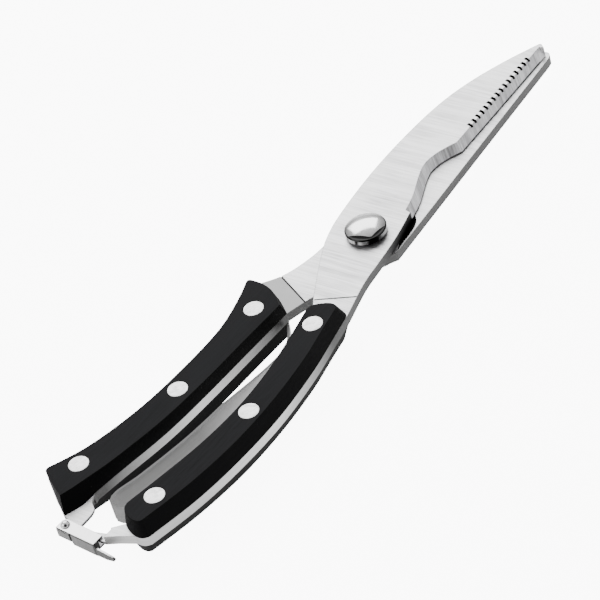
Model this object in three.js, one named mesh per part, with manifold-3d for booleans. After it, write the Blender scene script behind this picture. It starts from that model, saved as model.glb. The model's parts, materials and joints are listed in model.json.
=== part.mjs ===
// Poultry shears: two flat steel halves that cross at a pivot bolt, slab handles riveted to their tangs,
// a leaf spring between the handles and a latch that ties the handle ends together.
//
// The shears lie flat in millimetres. +X runs from the pivot to the blade tips, +Z is the pivot axis,
// and the origin is on that axis, level with the surface that the shears lie on. The back half carries
// the handle on the +Y side and the blade on the -Y side; the front half crosses over it.

import * as THREE from 'three';
import { mergeVertices } from 'three/addons/utils/BufferGeometryUtils.js';
import Module from 'manifold-3d';

const wasm = await Module();
wasm.setup();

// ---------- driving dimensions ----------

const BLADE_THICKNESS = 3.4;
const BLADE_GAP = 0.2; // between the faces that slide on each other
const SCALE_THICKNESS = 5.2; // one handle slab
const GLUE_LINE = 0.05; // between a slab and its tang
const PIN_CLEARANCE = 0.1; // between a round shank and its hole
const FACE_CLEARANCE = 0.3; // between parts that rest on each other
const JOIN_LAP = 0.001; // by which two pieces of one solid overlap, so that they join

// levels of the two halves above the surface that the shears lie on
const BACK = { low: SCALE_THICKNESS, high: SCALE_THICKNESS + BLADE_THICKNESS };
const FRONT = { low: BACK.high + BLADE_GAP, high: BACK.high + BLADE_GAP + BLADE_THICKNESS };

const BEVEL_WIDTH = 2.0; // ground band along a cutting edge, seen square to the face
const EDGE_LAND = 0.4; // flat left at the cutting edge
const SLOT = { count: 16, pitch: 2.42, first: 58.6, width: 1.0, depth: 0.8 };
const SLOT_REACH = { below: 0.5, above: 1.5, lean: 0.2 }; // from the bevel's shoulder
const BOLSTER_GROOVE = { width: 0.45, depth: 0.35 };
const HOLLOW_DEPTH = 1.2; // relief beside the pivot in the face that the blades slide on

const RIVET = { headRadius: 3.5, headDepth: 1.1, shankRadius: 2.1, boreRadius: 1.6, pinRadius: 1.5 };
const PIVOT = { shankRadius: 3.0, headRadius: 7.1, underChamfer: 0.9, sideHeight: 1.4, rim: 0.4, dome: 1.7 };
const PIVOT_FLATS = [{ degrees: 201, distance: 5.1 }, { degrees: 265, distance: 5.5 }]; // spanner flats
const NUT = { acrossFlats: 10.5, washerRadius: 6.3, washerThickness: 0.8 };
const SEAT_GAP = 0.1; // under a head, washer or nut

const SPRING = { thickness: 0.9, low: 4.6, high: 11.9, tipHigh: 6.4, taperX: -84, screwX: -121.5 };
const SPRING_SCREW = { radius: 0.9, depth: 4, holeDepth: 4.3, headRadius: 1.8, headHeight: 1.1, crown: 0.8 };
const LATCH = { sheet: 0.7, outside: 2.2, inside: 2.2, pinX: -147.4, pinY: 5, behind: 2.2, reach: 13.8 };
const LATCH_CLAW = { inset: 0.5, width: 1.8, length: 1.6, lap: 0.4 };
const LATCH_GAP = 0.15; // between the latch's plates and what they enclose
const LATCH_PIN = { radius: 0.9, headRadius: 1.6, headHeight: 1.2, footRadius: 1.6, footHeight: 0.9 };
const SPACER_RADIUS = 1.4;
const TONGUE_THICKNESS = 1.0; // thinned end of the back tang, inside the latch
const ARM_TIP_THICKNESS = 1.0; // thinned end of the front tang's hook, inside the latch

const ROUND_STEPS = 24; // facets of a small round part
const PIVOT_STEPS = 48; // facets of the pivot's round parts
const SIDE_STEPS = 22; // facets of one curved side of a handle slab
const CORNER_STEPS = 6; // facets of a rounded corner
const BLADE_STEPS = 26; // facets of one curved side of a steel half
const DOME_STEPS = 6; // facets from the rim of a domed head to its middle
const SPRING_STEPS = 60; // facets along the leaf spring
const EDGE_SAMPLES = 200; // points tried when a place on an edge is looked for

// ---------- outlines, seen from above ----------
// An outline is a list of sides. Each is a smooth curve through its points and ends where the next begins.

const BACK_HANDLE = {
  tang: [
    [[-133.8, 25.6], [-120, 20.2], [-100, 16.2], [-80, 15.2], [-60, 16.0], [-46, 19.3], [-34.8, 23.0]],
    [[-34.8, 23.0], [-34.0, 17.0], [-35.4, 10.5], [-39.7, 3.2]],
    [[-39.7, 3.2], [-60, 3.1], [-80, 3.0], [-100, 3.6], [-120, 6.1], [-131, 7.3]],
    [[-131, 7.3], [-137, 7.4], [-143.5, 9.7]],
    [[-143.5, 9.7], [-139.5, 16.3], [-133.8, 25.6]],
  ],
  face: [
    [[-134.2, 25.1], [-120, 18.9], [-100, 14.9], [-80, 13.8], [-60, 14.5], [-46, 17.9], [-36.4, 21.6]],
    [[-36.4, 21.6], [-35.9, 16.0], [-37.3, 10.0], [-41.6, 3.5]],
    [[-41.6, 3.5], [-60, 3.5], [-80, 3.4], [-100, 4.3], [-120, 7.2], [-130, 9.5]],
    [[-130, 9.5], [-135.5, 10.9], [-140.5, 12.5]],
    [[-140.5, 12.5], [-137.7, 18.6], [-134.2, 25.1]],
  ],
  rivets: [[-46.5, 10.5], [-86.8, 9.1], [-127.2, 16.4]],
  cornerCuts: [1.9, 1.7],
};

const FRONT_HANDLE = {
  tang: [
    [[-139.5, -24.3], [-120, -27.8], [-100, -29.0], [-80, -28.3], [-60, -25.3], [-45, -21.7], [-33.2, -18.7]],
    [[-33.2, -18.7], [-34.2, -13.5], [-38.6, -8.2]],
    [[-38.6, -8.2], [-60, -13.5], [-75, -16.2], [-90, -17.3], [-105, -16.7], [-120, -14.7], [-137, -11.8]],
    [[-137, -11.8], [-139.8, -15.0], [-141.4, -19.3], [-141.2, -22.6], [-139.5, -24.3]],
  ],
  face: [
    [[-138.5, -21.8], [-120, -25.2], [-100, -26.8], [-80, -26.0], [-60, -23.2], [-45, -19.6], [-35.2, -17.4]],
    [[-35.2, -17.4], [-36.3, -13.5], [-39.8, -8.7]],
    [[-39.8, -8.7], [-60, -13.8], [-75, -16.5], [-90, -17.6], [-105, -17.0], [-120, -15.0], [-136.5, -12.3]],
    [[-136.5, -12.3], [-138.6, -15.2], [-139.6, -18.6], [-139.4, -20.8], [-138.5, -21.8]],
  ],
  rivets: [[-46.0, -15.3], [-86.3, -21.8], [-128.5, -18.4]],
  cornerCuts: [0, 2.6, 2.6, 2.4],
};

// The blade ends of the two halves. The bevelled side is the one marked "ground".
const BACK_BLADE = {
  shoulder: [[-34.8, 23.0], [-26, 16.3], [-15, 13.2], [-4, 12.4], [9, 10.4]],
  ground: [[9, 10.4], [14, 9.2], [60, 7.0], [99, 4.9], [104.2, 3.5]],
  tip: [[104.2, 3.5], [104.1, 2.0], [102.9, 0.8], [100.2, 0.15]],
  spine: [[100.2, 0.15], [50, -5.9], [-0.5, -12.2]],
  heel: [[-0.5, -12.2], [-5.5, -9.2]],
  crotch: [[-5.5, -9.2], [-20, -3.6], [-31, 0.7], [-39.7, 3.2]],
  bolster: [[-26.2, 17.6], [-33.4, -0.4]],
  hollow: [
    [[17.6, -4.2], [16.2, -7.2], [13.4, -9.3], [9, -10.4], [4, -11.0], [0.6, -11.6]],
    [[0.6, -11.6], [6, -9.0], [12, -6.4], [17.6, -4.2]],
  ],
};

const FRONT_BLADE = {
  belly: [[-33.2, -18.7], [-20, -14.6], [-10, -12.8], [0, -11.0], [8, -9.0], [14.5, -7.1]],
  step: [[14.5, -7.1], [15.2, -6.9]],
  notch: [[15.2, -6.9], [22.2, -4.6], [32.2, 0.2], [37.2, 1.6], [42.6, 0.8], [49.2, -1.9]],
  ground: [[49.2, -1.9], [75.4, 0], [102.3, 2.0]],
  tip: [[102.3, 2.0], [103.7, 4.4], [102.3, 5.5]],
  spine: [[102.3, 5.5], [90, 10.9], [75, 15.8], [60, 18.2], [40, 18.5], [20, 17.0], [0, 13.6], [-10, 10.2]],
  crotch: [[-10, 10.2], [-20, 4.6], [-33, -3.6], [-38.6, -8.2]],
  bolster: [[-33.2, -4.2], [-25.8, -16.2]],
};

// ---------- geometry helpers ----------

const toVectors = (points) => points.map(([x, y]) => new THREE.Vector2(x, y));

// Evenly spaced points of a side, less the lengths that its rounded corners take from its two ends.
function sidePoints(side, steps, startCut, endCut) {
  const points = toVectors(side);
  const isCurve = points.length > 2;
  const curve = isCurve ? new THREE.SplineCurve(points) : new THREE.LineCurve(...points);
  const count = isCurve ? steps : 1;
  const [from, to] = [startCut / curve.getLength(), 1 - endCut / curve.getLength()];
  return Array.from({ length: count + 1 }, (_, index) => curve.getPointAt(from + (to - from) * (index / count)));
}

// The points of a rounded corner, from where it leaves one side up to where it joins the next.
function cornerPoints(leave, corner, join) {
  const arc = new THREE.QuadraticBezierCurve(leave, new THREE.Vector2(...corner), join);
  return arc.getPoints(CORNER_STEPS).slice(0, -1);
}

// All points of a closed outline, anticlockwise, with the ground width that each one carries.
// A sharp corner between two sides takes the wider of their widths. "cuts" holds, for the corner
// at the start of each side, the length that its rounding takes from both sides.
function traceOutline(sides, steps, groundWidths = [], cuts = []) {
  const cutBefore = (index) => cuts[index % sides.length] ?? 0;
  const trimmed = sides.map((side, index) => sidePoints(side, steps, cutBefore(index), cutBefore(index + 1)));
  const traced = sides.flatMap((side, index) => {
    const width = groundWidths[index] ?? 0;
    const cornerWidth = Math.max(width, groundWidths[index - 1] ?? 0);
    const points = trimmed[index].slice(0, -1).map((point, at) => ({ point, width: at ? width : cornerWidth }));
    const next = trimmed[(index + 1) % sides.length];
    const corner = cutBefore(index + 1) ? cornerPoints(trimmed[index].at(-1), side.at(-1), next[0]) : [];
    return [...points, ...corner.map((point) => ({ point, width: 0 }))];
  });
  const clockwise = THREE.ShapeUtils.isClockWise(traced.map((entry) => entry.point));
  return clockwise ? traced.reverse() : traced;
}

// Moves each point of an anticlockwise outline inwards by its own width.
function groundInwards(traced) {
  const count = traced.length;
  return traced.map(({ point, width }, index) => {
    const before = traced[(index + count - 1) % count].point;
    const after = traced[(index + 1) % count].point;
    const along = after.clone().sub(before).normalize();
    return new THREE.Vector2(point.x - along.y * width, point.y + along.x * width);
  });
}

// A closed body through a stack of outlines that have the same number of points.
function loft(layers) {
  const count = layers[0].points.length;
  const positions = layers.flatMap(({ points, z }) => points.flatMap((point) => [point.x, point.y, z]));
  const faces = [];
  for (let layer = 0; layer + 1 < layers.length; layer += 1) {
    for (let index = 0; index < count; index += 1) {
      const next = (index + 1) % count;
      const [a, b] = [layer * count + index, layer * count + next];
      faces.push(a, b, b + count, a, b + count, a + count);
    }
  }
  const last = (layers.length - 1) * count;
  for (const [a, b, c] of THREE.ShapeUtils.triangulateShape(layers[0].points, [])) {
    faces.push(a, c, b);
  }
  for (const [a, b, c] of THREE.ShapeUtils.triangulateShape(layers.at(-1).points, [])) {
    faces.push(a + last, b + last, c + last);
  }
  const geometry = new THREE.BufferGeometry();
  geometry.setAttribute('position', new THREE.Float32BufferAttribute(positions, 3));
  geometry.setIndex(faces);
  return geometry;
}

function plate(points, low, high) {
  const anticlockwise = THREE.ShapeUtils.isClockWise(points) ? [...points].reverse() : points;
  return loft([{ points: anticlockwise, z: low }, { points: anticlockwise, z: high }]);
}

function cylinder(radius, low, high, x = 0, y = 0, steps = ROUND_STEPS) {
  const geometry = new THREE.CylinderGeometry(radius, radius, high - low, steps);
  geometry.rotateX(Math.PI / 2);
  geometry.translate(x, y, (low + high) / 2);
  return geometry;
}

function box(low, high) {
  const size = high.map((value, axis) => value - low[axis]);
  const geometry = new THREE.BoxGeometry(...size);
  geometry.translate(...low.map((value, axis) => value + size[axis] / 2));
  return geometry;
}

// A body turned from a profile of [radius, z] points that starts and ends on the axis.
function turned(profile, x = 0, y = 0, steps = ROUND_STEPS) {
  const geometry = new THREE.LatheGeometry(toVectors(profile), steps);
  geometry.rotateX(Math.PI / 2);
  geometry.translate(x, y, 0);
  return geometry;
}

function solid(geometry) {
  const bare = geometry.clone();
  bare.deleteAttribute('normal');
  bare.deleteAttribute('uv');
  const merged = mergeVertices(bare, 1e-4);
  return new wasm.Manifold(new wasm.Mesh({
    numProp: 3,
    vertProperties: new Float32Array(merged.attributes.position.array),
    triVerts: new Uint32Array(merged.index.array),
  }));
}

function combine(base, { add = [], cut = [], keep = [] }) {
  let result = solid(base);
  add.forEach((geometry) => { result = result.add(solid(geometry)); });
  keep.forEach((geometry) => { result = result.intersect(solid(geometry)); });
  cut.forEach((geometry) => { result = result.subtract(solid(geometry)); });
  const mesh = result.getMesh();
  const geometry = new THREE.BufferGeometry();
  geometry.setAttribute('position', new THREE.Float32BufferAttribute(mesh.vertProperties, 3));
  geometry.setIndex([...mesh.triVerts]);
  return geometry;
}

// A thin strip along a path, thick in the plane and standing up between two levels.
function strip(path, thickness, low, high, steps) {
  const curve = new THREE.SplineCurve(toVectors(path));
  const centres = curve.getSpacedPoints(steps);
  const sideways = (point, index, offset) => {
    const along = curve.getTangentAt(index / steps);
    return new THREE.Vector2(point.x - along.y * offset, point.y + along.x * offset);
  };
  const left = centres.map((point, index) => sideways(point, index, thickness / 2));
  const right = centres.map((point, index) => sideways(point, index, -thickness / 2));
  return plate([...left, ...right.reverse()], low, high);
}

// A narrow bar that cuts a groove or slot across a face, from one plan point to another.
function cuttingBar([x0, y0], [x1, y1], width, low, high) {
  const length = Math.hypot(x1 - x0, y1 - y0);
  const geometry = new THREE.BoxGeometry(length, width, high - low);
  geometry.rotateZ(Math.atan2(y1 - y0, x1 - x0));
  geometry.translate((x0 + x1) / 2, (y0 + y1) / 2, (low + high) / 2);
  return geometry;
}

// ---------- materials ----------

const finish = (color, roughness, metalness) =>
  new THREE.MeshStandardMaterial({ color, roughness, metalness });
const steel = () => finish(0xdcdbdb, 0.35, 1.0);
const polished = () => finish(0xe4e6ea, 0.1, 1.0);
const handleBlack = () => finish(0x2a2a2c, 0.6, 0.0);
const rivetSteel = () => finish(0xe8e8e6, 0.4, 1.0);

const shears = new THREE.Group();

function addPart(name, geometry, material) {
  const mesh = new THREE.Mesh(geometry, material);
  mesh.name = name;
  shears.add(mesh);
}

// ---------- the two steel halves ----------

const ABOVE = 20; // taller than anything that is cut

const rivetHoles = (handle) => handle.rivets.map(([x, y]) =>
  cylinder(RIVET.shankRadius + PIN_CLEARANCE, -ABOVE, ABOVE, x, y));
const latchPinBore = () =>
  cylinder(LATCH_PIN.radius + PIN_CLEARANCE, -ABOVE, ABOVE, LATCH.pinX, LATCH.pinY);
const pivotHole = () => cylinder(PIVOT.shankRadius + PIN_CLEARANCE, -ABOVE, ABOVE, 0, 0, PIVOT_STEPS);

// The groove across a half that marks the front edge of its bolster.
function bolsterGroove([start, end], face, depth) {
  return cuttingBar(start, end, BOLSTER_GROOVE.width, face - depth, ABOVE);
}

// The back tang's thin end: it runs from the handle's lower edge round the latch pin and back to the butt.
const TONGUE = [
  [[-131, 7.3], [-134.6, 5.6], [-136.6, 3.0], [-139, 2.1]],
  [[-139, 2.1], [-143.9, 2.0], [-147.0, 2.6], [-148.6, 4.4], [-148.1, 6.0], [-146.9, 6.25], [-145, 6.25]],
  [[-145, 6.25], [-144.1, 7.3], [-143.5, 9.7]],
];
const TONGUE_RELIEF = { low: [-160, -10, BACK.low - 1], high: [-132.6, 7.1, BACK.high - TONGUE_THICKNESS] };

// Back half: the tang ends in a thin tongue for the latch pin, and the blade is ground on its underside.
function backHalf() {
  const { tang } = BACK_HANDLE;
  const sides = [
    tang[0], BACK_BLADE.shoulder, BACK_BLADE.ground, BACK_BLADE.tip, BACK_BLADE.spine, BACK_BLADE.heel,
    BACK_BLADE.crotch, tang[2], ...TONGUE, tang[4],
  ];
  const groundWidths = [0, 0, BEVEL_WIDTH];
  const traced = traceOutline(sides, BLADE_STEPS, groundWidths);
  const full = traced.map((entry) => entry.point);
  const blank = loft([
    { points: groundInwards(traced), z: BACK.low },
    { points: full, z: BACK.high - EDGE_LAND },
    { points: full, z: BACK.high },
  ]);
  const tongueRelief = box(TONGUE_RELIEF.low, TONGUE_RELIEF.high);
  const groove = bolsterGroove(BACK_BLADE.bolster, BACK.high, BOLSTER_GROOVE.depth);
  const hollowOutline = traceOutline(BACK_BLADE.hollow, SIDE_STEPS).map((entry) => entry.point);
  const hollow = plate(hollowOutline, BACK.high - HOLLOW_DEPTH, ABOVE);
  return combine(blank, {
    cut: [pivotHole(), latchPinBore(), tongueRelief, groove, hollow, ...rivetHoles(BACK_HANDLE)],
  });
}

// The hook that reaches from the front tang's end into the latch, and its thin tip.
const HOOK_ARM = [
  [-139.6, -23.4], [-141.6, -19.9], [-144.0, -15.1], [-146.4, -11.2], [-146.8, -9.0], [-146.8, -6.8],
  [-148.4, -6.8], [-148.0, -5.2], [-144.8, -4.8], [-143.2, -9.8], [-138.6, -14.0],
];
const HOOK_RELIEF = { low: [-160, -11.0, FRONT.low + ARM_TIP_THICKNESS], high: [-142.4, 0, ABOVE] };

// Where the spring's screw enters the front tang's inner edge, and the direction that its head points in.
function springScrewFrame() {
  const edge = new THREE.SplineCurve(toVectors(FRONT_HANDLE.tang[2])).getSpacedPoints(EDGE_SAMPLES);
  const distance = (point) => Math.abs(point.x - SPRING.screwX);
  const index = edge.reduce((best, point, at) => (distance(point) < distance(edge[best]) ? at : best), 0);
  const along = edge[index + 1].clone().sub(edge[index - 1]).normalize();
  return { foot: edge[index], outwards: new THREE.Vector2(along.y, -along.x) };
}

// Turns and moves a round body so that its axis leaves the front tang's inner edge square to it.
function onScrewAxis(geometry) {
  const { foot, outwards } = springScrewFrame();
  geometry.rotateY(Math.PI / 2);
  geometry.rotateZ(Math.atan2(outwards.y, outwards.x));
  geometry.translate(foot.x, foot.y, (FRONT.low + FRONT.high) / 2);
  return geometry;
}

function serrationSlots() {
  const [x0, y0] = FRONT_BLADE.ground.at(0);
  const [x1, y1] = FRONT_BLADE.ground.at(-1);
  const rise = (y1 - y0) / (x1 - x0);
  return Array.from({ length: SLOT.count }, (_, index) => {
    const x = SLOT.first + index * SLOT.pitch;
    const shoulder = y0 + (x - x0) * rise + BEVEL_WIDTH;
    const start = [x, shoulder - SLOT_REACH.below];
    const end = [x + SLOT_REACH.lean, shoulder + SLOT_REACH.above];
    return cuttingBar(start, end, SLOT.width, FRONT.high - SLOT.depth, ABOVE);
  });
}

function frontHalf() {
  const { tang } = FRONT_HANDLE;
  const sides = [
    tang[0], FRONT_BLADE.belly, FRONT_BLADE.step, FRONT_BLADE.notch, FRONT_BLADE.ground, FRONT_BLADE.tip,
    FRONT_BLADE.spine, FRONT_BLADE.crotch, tang[2], tang[3],
  ];
  const groundWidths = [0, 0, 0, BEVEL_WIDTH, BEVEL_WIDTH];
  const traced = traceOutline(sides, BLADE_STEPS, groundWidths);
  const full = traced.map((entry) => entry.point);
  const blank = loft([
    { points: full, z: FRONT.low },
    { points: full, z: FRONT.low + EDGE_LAND },
    { points: groundInwards(traced), z: FRONT.high },
  ]);
  const arm = plate(toVectors(HOOK_ARM), FRONT.low, FRONT.high);
  const tipRelief = box(HOOK_RELIEF.low, HOOK_RELIEF.high);
  const groove = bolsterGroove(FRONT_BLADE.bolster, FRONT.high, BOLSTER_GROOVE.depth / 2);
  const screwHole = onScrewAxis(cylinder(SPRING_SCREW.radius + PIN_CLEARANCE, -SPRING_SCREW.holeDepth, 1));
  return combine(blank, {
    add: [arm],
    cut: [pivotHole(), tipRelief, groove, screwHole, ...serrationSlots(), ...rivetHoles(FRONT_HANDLE)],
  });
}

addPart('back_blade', backHalf(), steel());
addPart('front_blade', frontHalf(), steel());

// ---------- handle slabs and their rivets ----------

const SIDES = ['front', 'back'];

// A slab lies on one face of the tang; "up" is +1 above the tang and -1 below it.
function slab(handle, tangFace, up) {
  const [near, far] = [handle.tang, handle.face].map((sides) =>
    traceOutline(sides, SIDE_STEPS, [], handle.cornerCuts).map((entry) => entry.point));
  const outer = tangFace + up * SCALE_THICKNESS;
  const inner = tangFace + up * GLUE_LINE;
  const layers = [{ points: near, z: inner }, { points: far, z: outer }];
  const blank = loft(up > 0 ? layers : layers.reverse());
  const seat = outer - up * (RIVET.headDepth + GLUE_LINE);
  const [sinkLow, sinkHigh] = up > 0 ? [seat, seat + ABOVE] : [seat - ABOVE, seat];
  const sinks = handle.rivets.map(([x, y]) =>
    cylinder(RIVET.headRadius + PIN_CLEARANCE, sinkLow, sinkHigh, x, y));
  return combine(blank, { cut: [...rivetHoles(handle), ...sinks] });
}

// The two halves of a rivet: a headed tube from the front and a headed pin from the back.
function rivetTube([x, y], frontFace, backFace) {
  const under = frontFace - RIVET.headDepth;
  const end = backFace + RIVET.headDepth + FACE_CLEARANCE;
  return turned([
    [0, under], [RIVET.boreRadius, under], [RIVET.boreRadius, end], [RIVET.shankRadius, end],
    [RIVET.shankRadius, under], [RIVET.headRadius, under], [RIVET.headRadius, frontFace], [0, frontFace],
  ], x, y);
}

function rivetPin([x, y], frontFace, backFace) {
  const under = backFace + RIVET.headDepth;
  const end = frontFace - RIVET.headDepth - FACE_CLEARANCE;
  return turned([
    [0, backFace], [RIVET.headRadius, backFace], [RIVET.headRadius, under], [RIVET.pinRadius, under],
    [RIVET.pinRadius, end], [0, end],
  ], x, y);
}

const HANDLES = [
  { name: 'left', handle: BACK_HANDLE, level: BACK },
  { name: 'right', handle: FRONT_HANDLE, level: FRONT },
];
const RIVET_PLACES = ['pivot_end', 'middle', 'butt_end'];

for (const { name, handle, level } of HANDLES) {
  const frontFace = level.high + SCALE_THICKNESS;
  const backFace = level.low - SCALE_THICKNESS;
  for (const side of SIDES) {
    const isFront = side === 'front';
    const tangFace = isFront ? level.high : level.low;
    addPart(`${name}_scale_${side}`, slab(handle, tangFace, isFront ? 1 : -1), handleBlack());
  }
  handle.rivets.forEach((place, index) => {
    addPart(`${name}_rivet_tube_${RIVET_PLACES[index]}`, rivetTube(place, frontFace, backFace), rivetSteel());
    addPart(`${name}_rivet_pin_${RIVET_PLACES[index]}`, rivetPin(place, frontFace, backFace), rivetSteel());
  });
}

// ---------- pivot ----------

// The profile of a flat dome that rises above a level out to a radius, from its rim to the axis.
function domeProfile(radius, rise, level, steps) {
  const sphere = (radius ** 2 + rise ** 2) / (2 * rise);
  const sweep = Math.asin(radius / sphere);
  const foot = level - sphere * Math.cos(sweep);
  return Array.from({ length: steps + 1 }, (_, index) => {
    const angle = sweep * (1 - index / steps);
    return [index < steps ? sphere * Math.sin(angle) : 0, foot + sphere * Math.cos(angle)];
  });
}

// A round domed head with two flats cut into its dome; the shank ends flush with the nut.
function pivotBolt() {
  const { shankRadius, headRadius, underChamfer, sideHeight, rim, dome } = PIVOT;
  const seat = FRONT.high + SEAT_GAP;
  const sideLow = seat + underChamfer;
  const sideHigh = sideLow + sideHeight;
  const ledge = sideHigh + rim;
  const head = turned([
    [0, 0], [shankRadius, 0], [shankRadius, seat], [headRadius - underChamfer, seat],
    [headRadius, sideLow], [headRadius, sideHigh],
    ...domeProfile(headRadius - rim, dome, ledge, DOME_STEPS),
  ], 0, 0, PIVOT_STEPS);
  const flats = PIVOT_FLATS.map(({ degrees, distance }) => {
    const block = box([distance, -headRadius, ledge], [2 * headRadius, headRadius, ledge + ABOVE]);
    return block.rotateZ(THREE.MathUtils.degToRad(degrees));
  });
  return combine(head, { cut: flats });
}

function pivotNut() {
  const top = BACK.low - 2 * SEAT_GAP - NUT.washerThickness;
  const hexagon = cylinder(NUT.acrossFlats / Math.sqrt(3), 0, top, 0, 0, 6);
  return combine(hexagon, { cut: [pivotHole()] });
}

function pivotWasher() {
  const top = BACK.low - SEAT_GAP;
  const disc = cylinder(NUT.washerRadius, top - NUT.washerThickness, top, 0, 0, PIVOT_STEPS);
  return combine(disc, { cut: [pivotHole()] });
}

addPart('pivot_bolt', pivotBolt(), polished());
addPart('pivot_washer', pivotWasher(), polished());
addPart('pivot_nut', pivotNut(), polished());

// ---------- leaf spring ----------

// The spring's middle line: its foot on the front tang, the curl, and the tip that bears on the back tang.
const SPRING_PATH = [
  [-117, -14.4], [-125, -12.9], [-131, -10.0], [-134.2, -6.0], [-133.4, -2.4], [-129, -1.6],
  [-120, -3.8], [-100, -6.7], [-80, -7.6], [-62, -7.5], [-52, -6.0], [-46, -2.2], [-41.6, 1.9],
];

// What is cut off the top of the strip where it narrows towards its tip.
function springTaper() {
  const { high, tipHigh, taperX } = SPRING;
  const endX = SPRING_PATH.at(-1)[0] + 1;
  const side = toVectors([[taperX, high], [endX, tipHigh], [endX, ABOVE], [taperX, ABOVE]]);
  return plate(side, -ABOVE, ABOVE).rotateX(Math.PI / 2);
}

function leafSpring() {
  const blade = strip(SPRING_PATH, SPRING.thickness, SPRING.low, SPRING.high, SPRING_STEPS);
  const screwHole = onScrewAxis(cylinder(SPRING_SCREW.radius + PIN_CLEARANCE, 0, SPRING.thickness * 2));
  return combine(blade, { cut: [screwHole, springTaper()] });
}

function springScrew() {
  const { radius, depth, headRadius, headHeight, crown } = SPRING_SCREW;
  const under = SPRING.thickness + 2 * FACE_CLEARANCE;
  const top = under + headHeight;
  const shoulder = top - headHeight / 3;
  return onScrewAxis(turned([
    [0, -depth], [radius, -depth], [radius, under], [headRadius, under], [headRadius, shoulder],
    [crown, top], [0, top],
  ]));
}

addPart('leaf_spring', leafSpring(), polished());
addPart('spring_screw', springScrew(), polished());

// ---------- latch ----------

const LATCH_LEVELS = (() => {
  const topPlate = FRONT.low + ARM_TIP_THICKNESS + LATCH_GAP;
  const bottomPlate = BACK.high - TONGUE_THICKNESS - LATCH_GAP;
  return { topPlate, bottomPlate, high: topPlate + LATCH.sheet, low: bottomPlate - LATCH.sheet };
})();

// The web and thumb tab from the side: along the latch from its pin, and up in fractions of half its height.
const LATCH_WEB = [
  [2.2, -1], [2.2, 1], [-13.8, 1], [-14.4, 0.15], [-18.5, 0.0], [-21.4, -0.22], [-22.1, -0.5],
  [-21.5, -0.95], [-18.5, -1.4], [-14.8, -1.45], [-13.6, -1.6], [-3.9, -1.6], [-3.5, -1],
];
const LATCH_BOSS = { from: -3.4, to: 1.9, low: -0.8, high: 0.8, height: 0.3 }; // pressed out of the web

// A folded channel, open towards the handles, that ends in a claw and a thumb tab.
function latchChannel() {
  const { topPlate, bottomPlate, high, low } = LATCH_LEVELS;
  const left = LATCH.pinX - LATCH.outside;
  const right = LATCH.pinX + LATCH.inside;
  const upperY = LATCH.pinY + LATCH.behind;
  const lowerY = LATCH.pinY - LATCH.reach;
  const [middle, halfHeight] = [(high + low) / 2, (high - low) / 2];
  const webSide = LATCH_WEB.map(([along, up]) => [LATCH.pinY + along, middle + up * halfHeight]);
  const web = plate(toVectors(webSide), 0, LATCH.sheet);
  web.applyMatrix4(new THREE.Matrix4().makeBasis(
    new THREE.Vector3(0, 1, 0), new THREE.Vector3(0, 0, 1), new THREE.Vector3(1, 0, 0)));
  web.translate(left - JOIN_LAP, 0, 0);
  const boss = box(
    [left - LATCH_BOSS.height, LATCH.pinY + LATCH_BOSS.from, middle + LATCH_BOSS.low * halfHeight],
    [left + JOIN_LAP, LATCH.pinY + LATCH_BOSS.to, middle + LATCH_BOSS.high * halfHeight]);
  const plan = toVectors([
    [left, lowerY], [right, lowerY], [right, upperY - 1], [right - 1, upperY], [left, upperY],
  ]);
  const top = plate(plan, topPlate, high);
  const bottom = plate(plan, low + GLUE_LINE, bottomPlate);
  const claw = box(
    [left + LATCH_CLAW.inset, lowerY, bottomPlate - LATCH_CLAW.lap],
    [left + LATCH_CLAW.inset + LATCH_CLAW.width, lowerY + LATCH_CLAW.length, topPlate + LATCH_CLAW.lap]);
  return combine(web, { add: [top, bottom, claw, boss], cut: [latchPinBore()] });
}

// A rivet through the latch and the tongue, with a domed head above and a flat foot below.
function latchPin() {
  const { radius, headRadius, headHeight, footRadius, footHeight } = LATCH_PIN;
  const [foot, seat] = [LATCH_LEVELS.low - SEAT_GAP, LATCH_LEVELS.high + SEAT_GAP];
  return turned([
    [0, foot - footHeight], [footRadius, foot - footHeight], [footRadius, foot],
    [radius, foot], [radius, seat],
    ...domeProfile(headRadius, headHeight, seat, DOME_STEPS),
  ], LATCH.pinX, LATCH.pinY);
}

function latchSpacer() {
  const [low, high] = [BACK.high + SEAT_GAP, LATCH_LEVELS.topPlate - SEAT_GAP];
  const ring = cylinder(SPACER_RADIUS, low, high, LATCH.pinX, LATCH.pinY);
  return combine(ring, { cut: [latchPinBore()] });
}

addPart('latch', latchChannel(), polished());
addPart('latch_pin', latchPin(), polished());
addPart('latch_spacer', latchSpacer(), polished());

export default shears;
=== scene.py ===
"""Looks for the poultry shears: materials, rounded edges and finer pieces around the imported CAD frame."""

import json
import math

import bmesh
import bpy
from mathutils import Matrix, Vector

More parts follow.
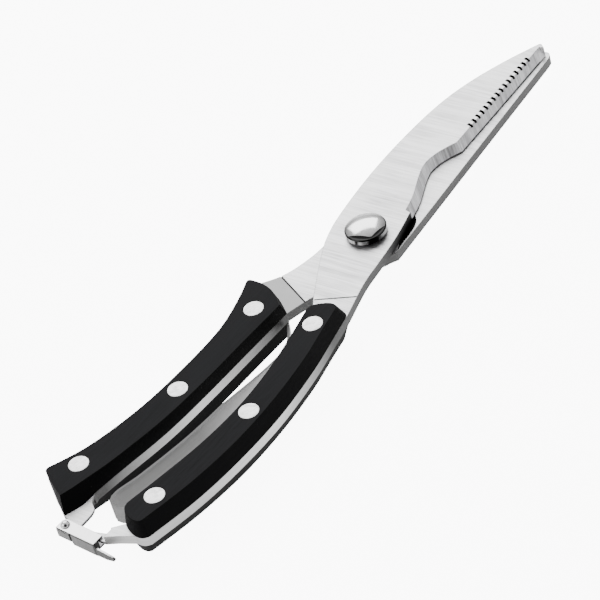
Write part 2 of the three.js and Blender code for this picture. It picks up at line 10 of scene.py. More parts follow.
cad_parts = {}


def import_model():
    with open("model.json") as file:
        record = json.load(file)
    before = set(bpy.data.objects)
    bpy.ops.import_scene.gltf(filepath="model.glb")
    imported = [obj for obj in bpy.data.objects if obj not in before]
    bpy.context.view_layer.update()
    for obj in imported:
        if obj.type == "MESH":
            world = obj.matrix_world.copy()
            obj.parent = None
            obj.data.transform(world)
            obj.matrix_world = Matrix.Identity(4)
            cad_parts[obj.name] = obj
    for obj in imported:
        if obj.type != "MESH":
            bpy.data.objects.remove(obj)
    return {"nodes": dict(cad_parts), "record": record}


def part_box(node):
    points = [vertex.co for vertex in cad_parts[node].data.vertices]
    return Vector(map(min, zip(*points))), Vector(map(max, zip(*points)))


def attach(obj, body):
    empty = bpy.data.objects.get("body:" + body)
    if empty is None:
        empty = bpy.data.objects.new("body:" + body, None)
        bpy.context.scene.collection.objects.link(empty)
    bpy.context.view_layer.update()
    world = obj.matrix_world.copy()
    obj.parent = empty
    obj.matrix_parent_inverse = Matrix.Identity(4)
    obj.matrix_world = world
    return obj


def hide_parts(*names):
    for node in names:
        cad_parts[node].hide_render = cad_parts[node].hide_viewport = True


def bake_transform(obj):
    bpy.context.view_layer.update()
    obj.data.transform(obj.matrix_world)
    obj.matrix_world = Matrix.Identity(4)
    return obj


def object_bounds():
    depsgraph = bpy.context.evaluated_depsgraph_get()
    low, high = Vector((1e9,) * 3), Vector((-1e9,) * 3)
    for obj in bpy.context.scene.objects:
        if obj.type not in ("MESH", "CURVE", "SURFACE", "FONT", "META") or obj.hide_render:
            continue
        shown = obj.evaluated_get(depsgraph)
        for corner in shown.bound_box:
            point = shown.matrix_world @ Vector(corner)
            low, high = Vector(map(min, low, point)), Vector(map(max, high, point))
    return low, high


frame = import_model()
cad_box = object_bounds()
nodes = frame["nodes"]
record = frame["record"]
body_of = {node: body for body, members in record["behaviour"]["bodies"].items() for node in members}
slot_of = {entry["node"]: entry["material_slot"] for entry in record["subparts"]}

# ---------- places and sizes on the object ----------

MM = 0.001  # lengths are in metres, as in the frame

BACK_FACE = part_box("back_blade")[1].z  # upper face of the back half
FRONT_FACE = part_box("front_blade")[1].z  # upper face of the front half
ON_FACE = 0.1 * MM  # what lies this close to a face counts as on it

TIP_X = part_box("front_blade")[1].x
TIP_LENGTH = 5 * MM  # blunt end of the front blade
SLOTS_BEYOND_X = 30 * MM  # the slots in the front blade's bevel all lie beyond this,
SLOTS_BELOW_Y = 5 * MM  # and below this, away from the blade's spine
SLOT_REACH = 0.82 * MM  # from the front face to just below the slots' floors

SLABS_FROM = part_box("right_scale_front")[1].x  # the right handle's slabs end here, nearest the pivot
UNDER_SLABS = SLABS_FROM - 12 * MM  # well under the slabs of both handles
TANG_MIDDLE = SLABS_FROM - 50 * MM
TANG_BUTT = SLABS_FROM - 94 * MM

GROOVE_FOOT = -33.3 * MM  # where the back half's groove meets the X axis
GROOVE_SLANT = 0.4  # how far the groove moves along X for each step along Y
HOLLOW_SHADE = (-9 * MM, 1 * MM, 15 * MM)  # X where the hollow's shade starts, is full and ends

DOME_HEIGHT = 1.7 * MM
PIVOT_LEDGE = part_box("pivot_bolt")[1].z - DOME_HEIGHT  # level of the ledges below the pivot head's dome
ON_LEDGE = 0.02 * MM  # what lies this close above that level is on a ledge

LATCH_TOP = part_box("latch")[1].z
CREASE = 0.75 * MM  # height of the painted dark shade in the crease below the latch's top
TAB_LENGTH = 7.9 * MM
TAB_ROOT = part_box("latch")[0].y + TAB_LENGTH  # where the latch's thumb tab meets its web
TAB_NOTCH = 0.9 * MM  # width of the painted dark notch between them, a shadow where no slit is cut

# ---------- shader helpers ----------


def grey(value, blue=0.0):
    """A grey whose blue may be raised by a small share."""
    return (value, value, value * (1 + blue), 1.0)


class Shader:
    """One procedural material: a Principled shader and short calls that add nodes to it."""

    def __init__(self, name):
        self.material = bpy.data.materials.new(name)
        self.material.use_nodes = True
        self.tree = self.material.node_tree
        self.surface = self.tree.nodes["Principled BSDF"]
        self.coordinates = self.add("ShaderNodeTexCoord").outputs["Object"]

    def add(self, kind, **settings):
        node = self.tree.nodes.new(kind)
        for key, value in settings.items():
            setattr(node, key, value)
        return node

    def link(self, source, target):
        self.tree.links.new(source, target)

    def feed(self, value, socket):
        """Puts a number, a colour or another node's output into a socket."""
        if isinstance(value, bpy.types.NodeSocket):
            self.link(value, socket)
        else:
            socket.default_value = value

    def set(self, **inputs):
        """Feeds the Principled shader's inputs, each named with _ for a space."""
        for name, value in inputs.items():
            self.feed(value, self.surface.inputs[name.replace("_", " ")])

    # arithmetic

    def math(self, operation, a, b=0.0):
        node = self.add("ShaderNodeMath", operation=operation)
        self.feed(a, node.inputs[0])
        self.feed(b, node.inputs[1])
        return node.outputs[0]

    def above(self, value, limit):
        return self.math("GREATER_THAN", value, limit)

    def below(self, value, limit):
        return self.math("LESS_THAN", value, limit)

    def product(self, first, *others):
        """Shares multiplied together: 1 only where each of them is."""
        for other in others:
            first = self.math("MULTIPLY", first, other)
        return first

    def spread(self, value, low, high, start=0.3, end=0.7):
        """Maps a value between start and end to a range."""
        node = self.add("ShaderNodeMapRange")
        node.inputs["From Min"].default_value = start
        node.inputs["From Max"].default_value = end
        self.feed(value, node.inputs["Value"])
        self.feed(low, node.inputs["To Min"])
        self.feed(high, node.inputs["To Max"])
        return node.outputs["Result"]

    def ramp(self, value, start=0.3, end=0.7):
        """Rises from 0 to 1 as a value goes from start to end."""
        return self.spread(value, 0.0, 1.0, start, end)

    def mix(self, share, a, b, data_type="RGBA"):
        """Colour a where the share is 0, colour b where it is 1."""
        node = self.add("ShaderNodeMix", data_type=data_type)
        self.feed(share, node.inputs["Factor"])
        self.feed(a, node.inputs["A"])
        self.feed(b, node.inputs["B"])
        return node.outputs["Result"]

    def mix_value(self, share, a, b):
        return self.mix(share, a, b, "FLOAT")

    # the surface's own shape and place

    def parts(self, vector):
        """A vector's parts, under X, Y and Z."""
        split = self.add("ShaderNodeSeparateXYZ")
        self.link(vector, split.inputs[0])
        return split.outputs

    def place(self):
        """Where a point is on the object."""
        return self.parts(self.coordinates)

    def facing(self):
        """The surface's flat normal."""
        return self.parts(self.add("ShaderNodeNewGeometry").outputs["True Normal"])

    def steepness(self):
        """0 where a surface faces up or down, 1 where it stands upright."""
        return self.math("SUBTRACT", 1.0, self.math("ABSOLUTE", self.facing()["Z"]))

    def edges(self, width):
        """1 close to an edge of the piece, 0 on its open faces."""
        rounded = self.add("ShaderNodeBevel", samples=6)
        rounded.inputs["Radius"].default_value = width
        flat = self.add("ShaderNodeNewGeometry").outputs["True Normal"]
        match = self.add("ShaderNodeVectorMath", operation="DOT_PRODUCT")
        self.link(rounded.outputs[0], match.inputs[0])
        self.link(flat, match.inputs[1])
        return self.spread(match.outputs["Value"], 1.0, 0.0, 0.8, 0.98)

    # texture

    def noise(self, per_metre, detail, roughness, angle=0.0):
        """Noise turned by an angle about Z, with its own count per metre along each axis."""
        turn = self.add("ShaderNodeMapping")
        turn.inputs["Rotation"].default_value = (0, 0, angle)
        self.link(self.coordinates, turn.inputs["Vector"])
        stretch = self.add("ShaderNodeMapping")
        stretch.inputs["Scale"].default_value = per_metre
        self.link(turn.outputs[0], stretch.inputs["Vector"])
        node = self.add("ShaderNodeTexNoise")
        node.inputs["Scale"].default_value = 1.0
        node.inputs["Detail"].default_value = detail
        node.inputs["Roughness"].default_value = roughness
        self.link(stretch.outputs[0], node.inputs["Vector"])
        return node.outputs["Fac"]

    def lines(self, angle, fine=1500.0, streak=420.0, length=45.0):
        """Grinding lines across an angle about Z: fine scratches over broad streaks, in counts per metre."""
        thin = self.noise((fine, length, length), detail=5.0, roughness=0.7, angle=angle)
        broad = self.noise((streak, length / 2, length / 2), detail=2.0, roughness=0.5, angle=angle)
        return self.math("ADD", self.math("MULTIPLY", thin, 0.65), self.math("MULTIPLY", broad, 0.35))

    def bump(self, height, distance, strength, under=None):
        node = self.add("ShaderNodeBump")
        node.inputs["Distance"].default_value = distance
        node.inputs["Strength"].default_value = strength
        self.link(height, node.inputs["Height"])
        if under is not None:
            self.link(under, node.inputs["Normal"])
        return node.outputs["Normal"]


# ---------- stretches of the blades ----------


def sunk(shader):
    """1 on the floors of slots, grooves and hollows in the blades' upper faces, where black shade is painted.
    """
    at = shader.place()
    off_back, off_front = (
        shader.math("ABSOLUTE", shader.math("SUBTRACT", at["Z"], face)) for face in (BACK_FACE, FRONT_FACE))
    off_faces = shader.above(shader.math("MINIMUM", off_back, off_front), ON_FACE)
    looking_up = shader.above(shader.facing()["Z"], 0.99)
    return shader.product(off_faces, looking_up, shader.above(at["X"], SLABS_FROM))


def slot_walls(shader):
    """1 on the upright walls of the slots along the front blade's bevel, where black shade is painted."""
    at = shader.place()
    across = shader.above(shader.math("ABSOLUTE", shader.facing()["X"]), 0.6)
    high = shader.above(at["Z"], FRONT_FACE - SLOT_REACH)
    before_tip = shader.below(at["X"], TIP_X - TIP_LENGTH)
    beside_bevel = shader.product(shader.above(at["X"], SLOTS_BEYOND_X), shader.below(at["Y"], SLOTS_BELOW_Y))
    return shader.product(across, high, before_tip, beside_bevel)


def upper_tip(shader):
    """1 on the last few millimetres of the front blade."""
    at = shader.place()
    return shader.product(shader.above(at["X"], TIP_X - TIP_LENGTH), shader.above(at["Z"], BACK_FACE))


def beside_hollow(shader):
    """Rises to 1 on the front half's side where it stands over the hollow next to the pivot, where black
    shade is painted.
    """
    start, full, end = HOLLOW_SHADE
    at = shader.place()
    rising = shader.product(shader.ramp(at["X"], start, full), shader.below(at["X"], end))
    near_side = shader.product(shader.below(at["Y"], 0.0), shader.above(at["Z"], BACK_FACE))
    return shader.product(rising, near_side)


def bolster(shader):
    """1 on the back half's bolster, between its groove and the handle slab."""
    at = shader.place()
    groove_x = shader.math("ADD", shader.math("MULTIPLY", at["Y"], GROOVE_SLANT), GROOVE_FOOT)
    behind_groove = shader.below(at["X"], groove_x)
    on_back_half = shader.below(at["Z"], BACK_FACE + ON_FACE)
    return shader.product(on_back_half, behind_groove, shader.above(at["X"], UNDER_SLABS))


# ---------- materials ----------

EDGE_SHADE_WIDTH = 0.45 * MM  # width of the thin dark line of painted shade along the edges of the blades and the latch


def blade_face(shader, ground):
    """Pale steel with ground lines and bright clouds, a grey bolster and thin dark lines of painted shade
    along its edges.
    """
    between, on_line, clouded, on_bolster, outline = (
        grey(0.42, 0.02), grey(0.95, 0.01), grey(0.93), grey(0.22), grey(0.05))
    cloud = shader.noise((38.0, 50.0, 38.0), detail=3.0, roughness=0.55)
    tone = shader.mix(shader.ramp(ground, 0.4, 0.6), between, on_line)
    tone = shader.mix(shader.spread(cloud, 0.0, 0.55), tone, clouded)
    tone = shader.mix(shader.product(bolster(shader), 0.85), tone, on_bolster)
    # painted shade: a thin dark line along the edges
    return shader.mix(shader.edges(EDGE_SHADE_WIDTH), tone, outline)


def blade_edge(shader):
    """Upright edges, painted darker than the faces as shade: a painted highlight along each tang's middle and
    at the tip, painted black shade by the hollow.
    """
    dull, bright, tip_highlight, grained, painted_hollow_shade = grey(0.085), grey(0.97), grey(0.9), grey(0.2), grey(0.01)
    at = shader.place()
    grain = shader.noise((60.0, 60.0, 2400.0), detail=4.0, roughness=0.7)
    # towards the butt the painted highlight stays fairly bright on the front half's edge and fades to dull on
    # the back half's
    butt_share = shader.mix_value(shader.below(at["Z"], BACK_FACE), 0.6, 0.0)
    highlight_share = shader.product(
        shader.spread(at["X"], 1.0, 0.0, TANG_MIDDLE, UNDER_SLABS),
        shader.spread(at["X"], butt_share, 1.0, TANG_BUTT, TANG_MIDDLE))
    # painted highlight, standing for the reflection of a light, along each tang's middle
    tone = shader.mix(highlight_share, dull, bright)
    # painted highlight at the tip
    tone = shader.mix(upper_tip(shader), tone, tip_highlight)
    tone = shader.mix(shader.spread(grain, 0.0, 0.3), tone, grained)
    # painted shade: black beside the hollow
    return shader.mix(shader.product(beside_hollow(shader), 0.9), tone, painted_hollow_shade)


def blade_steel():
    """Cross-ground faces, a coarser slanted grind on the bevels, edges painted greyer as shade, and painted
    black shade in the slots and hollows.
    """
    between, on_line, black = grey(0.42, 0.03), grey(0.97, 0.02), grey(0.012)
    shader = Shader("blade_steel")
    steep = shader.steepness()
    on_bevel = shader.ramp(steep, 0.2, 0.35)
    on_edge = shader.ramp(steep, 0.75, 0.9)
    face_lines = shader.lines(math.radians(-6))
    bevel_lines = shader.lines(math.radians(32), fine=1100.0, length=90.0)
    bevel = shader.mix(shader.ramp(bevel_lines, 0.38, 0.6), between, on_line)
    colour = shader.mix(on_bevel, blade_face(shader, face_lines), bevel)
    colour = shader.mix(on_edge, colour, blade_edge(shader))
    # painted shade: slots, grooves and hollows are painted black
    slot_shade = shader.math("MAXIMUM", sunk(shader), shader.product(slot_walls(shader), on_edge))
    grind = shader.mix_value(on_bevel, face_lines, bevel_lines)
    shader.set(
        Base_Color=shader.mix(slot_shade, colour, black),
        Metallic=1.0,
        Roughness=shader.mix_value(on_edge, shader.spread(grind, 0.36, 0.52), 0.42),
        Normal=shader.bump(grind, 0.04 * MM, 0.4),
    )
    return shader.material


def handle_black():
    """Matte moulded slab with a faint grain along its length."""
    grain_low, grain_high, clouded, side_shade = (
        grey(0.008, 0.1), grey(0.021, 0.1), grey(0.024, 0.08), grey(0.0035, 0.1))
    shader = Shader("handle_black")
    grain = shader.noise((120.0, 1300.0, 900.0), detail=4.0, roughness=0.6)
    fine = shader.noise((2600.0, 2600.0, 2600.0), detail=2.0, roughness=0.5)
    cloud = shader.noise((30.0, 70.0, 70.0), detail=2.0, roughness=0.5)
    top = shader.mix(shader.ramp(grain), grain_low, grain_high)
    top = shader.mix(shader.spread(cloud, 0.0, 0.4), top, clouded)
    shader.set(
        # the slanted sides are painted deeper black, as shade
        Base_Color=shader.mix(shader.ramp(shader.steepness(), 0.02, 0.12), top, side_shade),
        Roughness=shader.spread(grain, 0.5, 0.66),
        Specular_IOR_Level=0.05,
        Normal=shader.bump(fine, 0.02 * MM, 0.25, under=shader.bump(grain, 0.03 * MM, 0.3)),
    )
    return shader.material


def rivet_steel():
    """Pale discs with short slanted scratches and clouds, and painted dark shade on the rim where each one
    meets its slab.
    """
    between, on_scratch, clouded, painted_rim_shade = grey(0.5), grey(0.95), grey(0.95), grey(0.05)
    shader = Shader("rivet_steel")
    scratches = shader.noise((500.0, 900.0, 500.0), detail=4.0, roughness=0.7, angle=math.radians(35))
    cloud = shader.noise((420.0, 420.0, 420.0), detail=2.0, roughness=0.5)
    colour = shader.mix(shader.ramp(scratches, 0.4, 0.6), between, on_scratch)
    colour = shader.mix(shader.spread(cloud, 0.0, 0.5), colour, clouded)
    shader.set(
        # painted shade on the steep rim
        Base_Color=shader.mix(shader.ramp(shader.steepness(), 0.05, 0.3), colour, painted_rim_shade),
        Metallic=1.0,
        Roughness=shader.spread(scratches, 0.3, 0.42),
        Normal=shader.bump(scratches, 0.02 * MM, 0.3),
    )
    return shader.material


def latch_steel():
    """Bright folded sheet with a trace of lines, with painted shade along its folds, its top crease and its
    edges, and upright sides painted greyer as shade.
    """
    low, high, side_low, side_high, dark = grey(0.81), grey(0.93), grey(0.12), grey(0.2), grey(0.02)
    shader = Shader("latch_steel")
    at = shader.place()
    steep = shader.steepness()
    faint = shader.lines(math.radians(80))
    flat = shader.mix(shader.ramp(faint, 0.36, 0.62), low, high)
    side = shader.mix(shader.ramp(faint), side_low, side_high)
    # the thumb tab is painted greyer than the web, as shade, and a painted dark notch, a shadow where no slit
    # is cut, parts them
    side = shader.mix(shader.product(shader.below(at["Y"], TAB_ROOT), 0.6), side, dark)
    notch_shadow = shader.product(shader.above(at["Y"], TAB_ROOT), shader.below(at["Y"], TAB_ROOT + TAB_NOTCH))
    crease_shade = shader.above(at["Z"], LATCH_TOP - CREASE)
    side = shader.mix(shader.math("MAXIMUM", crease_shade, notch_shadow), side, dark)
    # painted shade on the slanted folds
    colour = shader.mix(shader.ramp(steep, 0.08, 0.2), flat, dark)
    # upright sides painted greyer, as shade
    colour = shader.mix(shader.ramp(steep, 0.75, 0.92), colour, side)
    shader.set(
        # painted shade: a thin dark line along the edges
        Base_Color=shader.mix(shader.edges(EDGE_SHADE_WIDTH), colour, dark),
        Metallic=1.0,
        Roughness=shader.spread(faint, 0.18, 0.26),
        Normal=shader.bump(faint, 0.02 * MM, 0.15),
    )
    return shader.material


def polished_steel():
    """Mirror-bright steel, very slightly mottled, for the nut, washer, screw, latch pin and spacer."""
    shader = Shader("polished_steel")
    mottle = shader.noise((260.0, 260.0, 260.0), detail=3.0, roughness=0.6)
    shader.set(
        Base_Color=shader.mix(shader.ramp(mottle), grey(0.8, 0.01), grey(0.92)),
        Metallic=1.0,
        Roughness=shader.spread(mottle, 0.05, 0.14),
        Normal=shader.bump(mottle, 0.04 * MM, 0.08),
    )
    return shader.material


def pivot_chrome():
    """The pivot's head, with chrome reflections painted on: a bright dome with a darker rim, black ledges and
    a black and white banded side.
    """
    bright, rim, black, band_dark, band_light, side_light = (
        grey(0.96), grey(0.1), grey(0.02), grey(0.006), grey(0.85), grey(0.9))
    rim_start, rim_end, rim_waver = 5.2 * MM, 8.4 * MM, 2.5 * MM
    shader = Shader("pivot_chrome")
    at = shader.place()
    steep = shader.steepness()
    x_squared, y_squared = (shader.math("POWER", at[axis], 2.0) for axis in "XY")
    radius = shader.math("SQRT", shader.math("ADD", x_squared, y_squared))
    mottle = shader.noise((300.0, 300.0, 300.0), detail=3.0, roughness=0.6)
    bands = shader.noise((240.0, 240.0, 60.0), detail=2.0, roughness=0.5, angle=math.radians(20))
    # the dome's painted dark rim reflection wavers, as a reflection does
    uneven = shader.math("ADD", radius, shader.math("MULTIPLY", mottle, rim_waver))
    dome = shader.mix(shader.spread(uneven, 0.0, 0.85, rim_start, rim_end), bright, rim)
    banded = shader.mix(shader.ramp(bands, 0.5, 0.62), band_dark, band_light)
    # painted reflection: black and white bands on the side
    side = shader.mix(shader.below(at["Z"], PIVOT_LEDGE), side_light, banded)
    colour = shader.mix(shader.ramp(steep, 0.16, 0.24), dome, black)
    colour = shader.mix(shader.ramp(steep, 0.86, 0.97), colour, side)
    on_ledge = shader.product(shader.below(at["Z"], PIVOT_LEDGE + ON_LEDGE), shader.below(steep, 0.02))
    shader.set(
        # painted dark reflection on the ledges
        Base_Color=shader.mix(on_ledge, colour, black),
        Metallic=1.0,
        Roughness=shader.spread(mottle, 0.1, 0.2),
        Normal=shader.bump(mottle, 0.03 * MM, 0.06),
    )
    return shader.material


def spring_steel():
    """Rolled strip with lines along its length, a painted highlight brightening it towards its tip, and dark
    on its narrow edges.
    """
    rolled_low, rolled_high, clouded, tip_highlight, narrow_edge = (
        grey(0.21), grey(0.29), grey(0.3), grey(0.95), grey(0.09))
    low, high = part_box("leaf_spring")
    brightens_from = (low.x + high.x) / 2 - 8 * MM
    shader = Shader("spring_steel")
    rolled = shader.noise((25.0, 25.0, 1500.0), detail=3.0, roughness=0.6)
    cloud = shader.noise((60.0, 60.0, 60.0), detail=2.0, roughness=0.5)
    colour = shader.mix(shader.ramp(rolled), rolled_low, rolled_high)
    colour = shader.mix(shader.spread(cloud, 0.0, 0.3), colour, clouded)
    # painted highlight towards the tip
    colour = shader.mix(shader.ramp(shader.place()["X"], brightens_from, high.x), colour, tip_highlight)
    shader.set(
        Base_Color=shader.mix(shader.ramp(shader.steepness(), 0.5, 0.9), narrow_edge, colour),
        Metallic=1.0,
        Roughness=shader.spread(rolled, 0.34, 0.46),
        Normal=shader.bump(rolled, 0.02 * MM, 0.2),
    )
    return shader.material


MATERIALS = {
    "blade_steel": blade_steel(),
    "handle_black": handle_black(),
    "rivet_steel": rivet_steel(),
    "polished_steel": polished_steel(),
    "pivot_chrome": pivot_chrome(),
    "spring_steel": spring_steel(),
    "latch_steel": latch_steel(),
}

# ---------- pieces refined from their CAD solids ----------

WELD = 2e-6  # corners of the CAD mesh this close are one
SMALLEST_EDGE = 1e-7
FLAT_WITHIN = math.radians(0.6)  # triangles that turn less than this make one flat face
ON_AXIS = 0.01 * MM  # a corner this close to a turned solid's axis is on it
ON_PROFILE = 0.02 * MM  # a corner this close to the plane of a turned solid's profile is on it
TURNED_STEPS = 96  # facets of a finely turned piece
FILLET_STEPS = 4
FILLET_SHARE = 0.4  # the most that a fillet takes of a stretch of the profile
NEARLY_STRAIGHT = math.radians(150)  # a corner more open than this gets no fillet


def joined(node):
    """A bmesh of a CAD node whose triangles share their corners."""
    shape = bmesh.new()
    shape.from_mesh(nodes[node].data)
    bmesh.ops.remove_doubles(shape, verts=shape.verts, dist=WELD)
    return shape


def cleaned(node, whole_faces=True):
    """The same without edges of no length and, if wanted, with its flat faces whole."""
    shape = joined(node)
    bmesh.ops.dissolve_degenerate(shape, edges=shape.edges, dist=SMALLEST_EDGE)
    if whole_faces:
        bmesh.ops.dissolve_limit(
            shape, angle_limit=FLAT_WITHIN, use_dissolve_boundaries=False,
            verts=shape.verts, edges=shape.edges)
    return shape


def any_edge(edge):
    return True


def lies_flat(edge):
    along = (edge.verts[0].co - edge.verts[1].co).normalized()
    return abs(along.z) <= 0.5


def round_edges(shape, width, sharper_than, chosen=any_edge, segments=3):
    """Rounds the chosen edges whose two faces turn by more than an angle in degrees."""
    limit = math.radians(sharper_than)
    edges = [e for e in shape.edges if e.is_manifold and e.calc_face_angle(0) > limit and chosen(e)]
    bmesh.ops.bevel(
        shape, geom=edges, offset=width, offset_type="OFFSET", segments=segments, profile=0.5,
        affect="EDGES", clamp_overlap=True)


def piece_from(shape, suffix, node, smooth_below=32.0):
    """Makes a shape into the piece that stands for a CAD node, smooth where it turns by fewer degrees."""
    mesh = bpy.data.meshes.new(f"{node}_{suffix}")
    shape.to_mesh(mesh)
    shape.free()
    for polygon in mesh.polygons:
        polygon.use_smooth = True
    mesh.set_sharp_from_angle(angle=math.radians(smooth_below))
    mesh.materials.append(MATERIALS[slot_of[node]])
    piece = bpy.data.objects.new(mesh.name, mesh)
    bpy.context.scene.collection.objects.link(piece)
    flat_faces = piece.modifiers.new("flat_faces", "WEIGHTED_NORMAL")
    flat_faces.keep_sharp = True
    flat_faces.weight = 100
    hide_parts(node)
    return piece


def blade(node):
    """A steel half with its sharp edges just broken."""
    shape = cleaned(node, whole_faces=False)
    round_edges(shape, 0.2 * MM, sharper_than=50.0, segments=2)
    piece = piece_from(shape, "ground", node, smooth_below=24.0)
    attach(piece, body_of[node])


def scale(node):
    """A handle slab with the creases between its faces softened."""
    shape = cleaned(node)
    round_edges(shape, 0.3 * MM, sharper_than=24.0, chosen=lies_flat)
    piece = piece_from(shape, "slab", node, smooth_below=30.0)
    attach(piece, body_of[node])


def small_part(node, width, suffix="rounded", sharper_than=40.0):
    """A small part with all its sharp edges rounded."""
    shape = cleaned(node)
    round_edges(shape, width, sharper_than)
    piece = piece_from(shape, suffix, node)
    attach(piece, body_of[node])
    return piece


def half_outline(node, centre):
    """A turned solid's outline as (radius, z) points, read along one of its facet corners."""
    shape = joined(node)
    widest = max(shape.verts, key=lambda v: (v.co - centre).xy.length)
    direction = (widest.co - centre).xy.normalized()

    def on_profile(vert):
        offset = (vert.co - centre).xy
        return (offset - direction * offset.length).length < ON_PROFILE

    ends = sorted((v for v in shape.verts if (v.co - centre).xy.length < ON_AXIS), key=lambda v: v.co.z)
    line = [ends[0]]
    while line[-1] is not ends[-1]:
        here = line[-1]
        linked = [edge.other_vert(here) for edge in here.link_edges]
        line.append(next(v for v in linked if v not in line and on_profile(v)))
    outline = [((v.co - centre).xy.length, v.co.z) for v in line]
    shape.free()
    return outline


def filleted(outline, radius):
    """Rounds each corner of an outline, except its ends, with a short arc."""
    points = [Vector(point) for point in outline]
    rounded = [points[0]]
    for before, corner, after in zip(points, points[1:], points[2:]):
        back, ahead = before - corner, after - corner
        if back.angle(ahead) > NEARLY_STRAIGHT:
            rounded.append(corner)
            continue
        cut = min(radius, back.length * FILLET_SHARE, ahead.length * FILLET_SHARE)
        start, stop = corner + back.normalized() * cut, corner + ahead.normalized() * cut
        for step in range(FILLET_STEPS + 1):
            t = step / FILLET_STEPS
            rounded.append(start.lerp(corner, t).lerp(corner.lerp(stop, t), t))
    return [*rounded, points[-1]]


def turned_part(node, fillet):
    """The same turned solid with rounded corners and many more facets."""
    low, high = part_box(node)
    centre = (low + high) / 2
    outline = filleted(half_outline(node, centre), fillet)
    shape = bmesh.new()
    rings = []
    for radius, z in outline:
        steps = TURNED_STEPS if radius > ON_AXIS else 1
        turns = [2 * math.pi * step / TURNED_STEPS for step in range(steps)]
        rings.append([shape.verts.new((
            centre.x + radius * math.cos(turn), centre.y + radius * math.sin(turn), z)) for turn in turns])
    for lower, upper in zip(rings, rings[1:]):
        for step in range(TURNED_STEPS):
            corners = []
            for ring, at in ((lower, step), (lower, step + 1), (upper, step + 1), (upper, step)):
                vert = ring[at % len(ring)]
                if vert not in corners:
                    corners.append(vert)
            if len(corners) > 2:
                shape.faces.new(corners)
    bmesh.ops.recalc_face_normals(shape, faces=shape.faces)
    piece = piece_from(shape, "turned", node)
    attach(piece, body_of[node])


def leaf_spring():
    """The leaf spring as a strip with lightly rounded edges, attached to no body here."""
    shape = cleaned("leaf_spring")
    round_edges(shape, 0.12 * MM, sharper_than=40.0, segments=2)
    piece = piece_from(shape, "strip", "leaf_spring")
    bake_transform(piece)


for name in ("back_blade", "front_blade"):
    blade(name)
for name in nodes:
    if "_scale_" in name:
        scale(name)
    if "_rivet_" in name:
        turned_part(name, fillet=0.3 * MM)
turned_part("latch_pin", fillet=0.15 * MM)
pivot_bolt = small_part("pivot_bolt", width=0.16 * MM, sharper_than=20.0)
pivot_bolt.data.materials[0] = MATERIALS["pivot_chrome"]
small_part("pivot_washer", width=0.15 * MM)
small_part("pivot_nut", width=0.35 * MM)
small_part("latch", width=0.22 * MM, suffix="folded")
small_part("latch_spacer", width=0.08 * MM)
small_part("spring_screw", width=0.1 * MM)
leaf_spring()

# ---------- floor ----------

FLOOR_SIZE = 8.0
FLOOR_GAP = 0.02 * MM  # between the floor and the object's lowest point
FLOOR_GLOW = 0.85  # strength of the floor's glow on the object
FLOOR_SEEN = 9.0  # and as the camera sees it: overexposed, as a lit white table is


def floor():
    shader = Shader("studio_floor")
    seen = shader.add("ShaderNodeLightPath").outputs["Is Camera Ray"]
    shader.set(
        Base_Color=grey(0.9), Roughness=0.6, Specular_IOR_Level=0.2, Emission_Color=grey(1.0),
        Emission_Strength=shader.spread(seen, FLOOR_GLOW, FLOOR_SEEN, 0.0, 1.0))
    mesh = bpy.data.meshes.new("studio_floor")
    half = FLOOR_SIZE / 2
    level = cad_box[0].z - FLOOR_GAP
    corners = [(-half, -half), (half, -half), (half, half), (-half, half)]
    mesh.from_pydata([(x, y, level) for x, y in corners], [], [(0, 1, 2, 3)])
    mesh.materials.append(shader.material)
    piece = bpy.data.objects.new("studio_floor", mesh)
    bpy.context.scene.collection.objects.link(piece)


# ---------- camera ----------

LOOK_AT = Vector((-39.2, -4.5, 17.4)) * MM  # by the slabs' front ends, level with the object's top
AZIMUTH = math.radians(39.5)  # heading of the view, from +Y towards +X
ELEVATION = math.radians(40.88)  # how far it looks down
ROLL = math.radians(16.91)  # the camera's turn about its own line of sight
DISTANCE = 1.116
LENS = 208.7  # focal length in millimetres


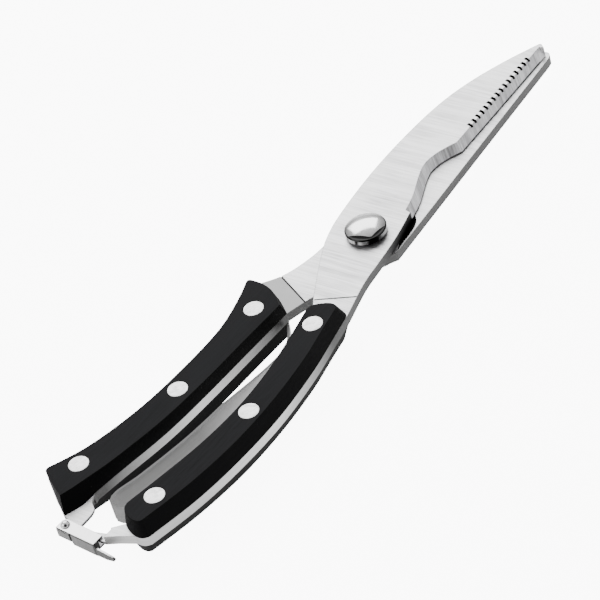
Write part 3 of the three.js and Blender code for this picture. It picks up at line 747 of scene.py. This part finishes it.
def camera():
    data = bpy.data.cameras.new("camera")
    data.lens = LENS
    data.clip_start = 0.05
    piece = bpy.data.objects.new("camera", data)
    bpy.context.scene.collection.objects.link(piece)
    level, down = math.cos(ELEVATION), math.sin(ELEVATION)
    ahead = Vector((level * math.sin(AZIMUTH), level * math.cos(AZIMUTH), -down))
    level_right = Vector((math.cos(AZIMUTH), -math.sin(AZIMUTH), 0.0))
    level_up = level_right.cross(ahead)
    right = level_right * math.cos(ROLL) - level_up * math.sin(ROLL)
    up = level_right * math.sin(ROLL) + level_up * math.cos(ROLL)
    turn = Matrix((right, up, -ahead)).transposed().to_4x4()
    piece.matrix_world = Matrix.Translation(LOOK_AT - ahead * DISTANCE) @ turn
    bpy.context.scene.camera = piece


# ---------- light ----------

DARK_SIDE = Vector((-0.45, -0.55, 0.7))  # direction of the room's dark part
DARK_SPREAD = 34.0  # degrees from its middle to its edge
DARK_FADE = 12.0  # degrees over which it fades, to either side of its edge
ROOM_LIGHT = 0.8
ROOM_DARK = 0.03


def softbox(name, direction, distance, width, height, power):
    """A rectangular light that faces the object from a direction."""
    data = bpy.data.lights.new(name, "AREA")
    data.shape = "RECTANGLE"
    data.size, data.size_y = width, height
    data.energy = power
    piece = bpy.data.objects.new(name, data)
    bpy.context.scene.collection.objects.link(piece)
    away = Vector(direction).normalized()
    piece.location = LOOK_AT + away * distance
    piece.rotation_euler = away.to_track_quat("Z", "Y").to_euler()


def world():
    """White all round, with a dark part of the room behind the camera for the bright metal to reflect."""
    made = bpy.data.worlds.new("studio")
    made.use_nodes = True
    tree = made.node_tree
    direction = tree.nodes.new("ShaderNodeTexCoord").outputs["Generated"]
    toward = tree.nodes.new("ShaderNodeVectorMath")
    toward.operation = "DOT_PRODUCT"
    toward.inputs[1].default_value = DARK_SIDE.normalized()
    tree.links.new(direction, toward.inputs[0])
    share = tree.nodes.new("ShaderNodeMapRange")
    share.interpolation_type = "SMOOTHSTEP"
    share.inputs["From Min"].default_value = math.cos(math.radians(DARK_SPREAD + DARK_FADE))
    share.inputs["From Max"].default_value = math.cos(math.radians(DARK_SPREAD - DARK_FADE))
    share.inputs["To Min"].default_value = ROOM_LIGHT
    share.inputs["To Max"].default_value = ROOM_DARK
    tree.links.new(toward.outputs["Value"], share.inputs["Value"])
    background = tree.nodes["Background"]
    background.inputs["Color"].default_value = grey(1.0)
    tree.links.new(share.outputs["Result"], background.inputs["Strength"])
    bpy.context.scene.world = made


floor()
camera()
world()
softbox("softbox_far", direction=(0.48, 0.58, 0.66), distance=1.3, width=1.2, height=1.0, power=12.5)
softbox("softbox_left", direction=(-0.8, 0.5, 0.7), distance=1.4, width=0.8, height=0.8, power=4)
